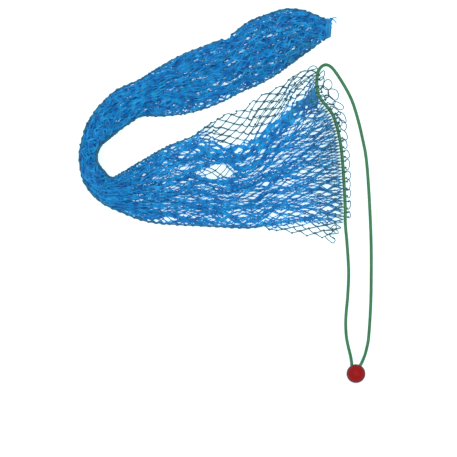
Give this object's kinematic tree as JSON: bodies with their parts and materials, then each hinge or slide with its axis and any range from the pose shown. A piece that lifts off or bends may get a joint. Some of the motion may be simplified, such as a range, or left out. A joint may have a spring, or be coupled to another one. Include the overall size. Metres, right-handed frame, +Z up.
{
  "type": "drawstring cast net",
  "caption": "Knotted blue netting tube gathered flat in a V, its open edge strung on a green drawcord that runs out to a red stop ball.",
  "frame": {"origin": "on the surface that the net lies on, under the middle of the box around the netting and the ball", "axes": "+X towards the mouth and the closed end, +Y towards the closed arm, +Z up from the surface"},
  "size_m": [0.4692, 0.5977, 0.03],
  "materials": {
    "netting": "knotted twisted nylon twine",
    "edge_twine": "single twisted nylon twine",
    "drawcord": "braided cord, slightly glossy",
    "ball": "smooth satin, lightly worn"
  },
  "bodies": {
    "root": {"net_closed_arm": "netting", "net_bend": "netting", "net_flared_arm": "netting", "net_upper_flap": "netting", "net_lower_flap": "netting", "mouth_edge": "netting", "mouth_edge_loops": "edge_twine", "closed_end_lashing": "edge_twine", "drawcord_near_strand": "drawcord", "drawcord_mouth_run": "drawcord", "drawcord_far_strand": "drawcord", "drawcord_tails": "drawcord", "drawcord_end_knot": "drawcord"},
    "stop_ball": {"stop_ball": "ball"}
  },
  "joints": [
    {"name": "ball_slide", "type": "slide", "parent": "root", "child": "stop_ball", "axis": [0, 1, 0], "range_m": [0, 0.2], "deforming": ["drawcord_near_strand", "drawcord_far_strand"]}
  ]
}
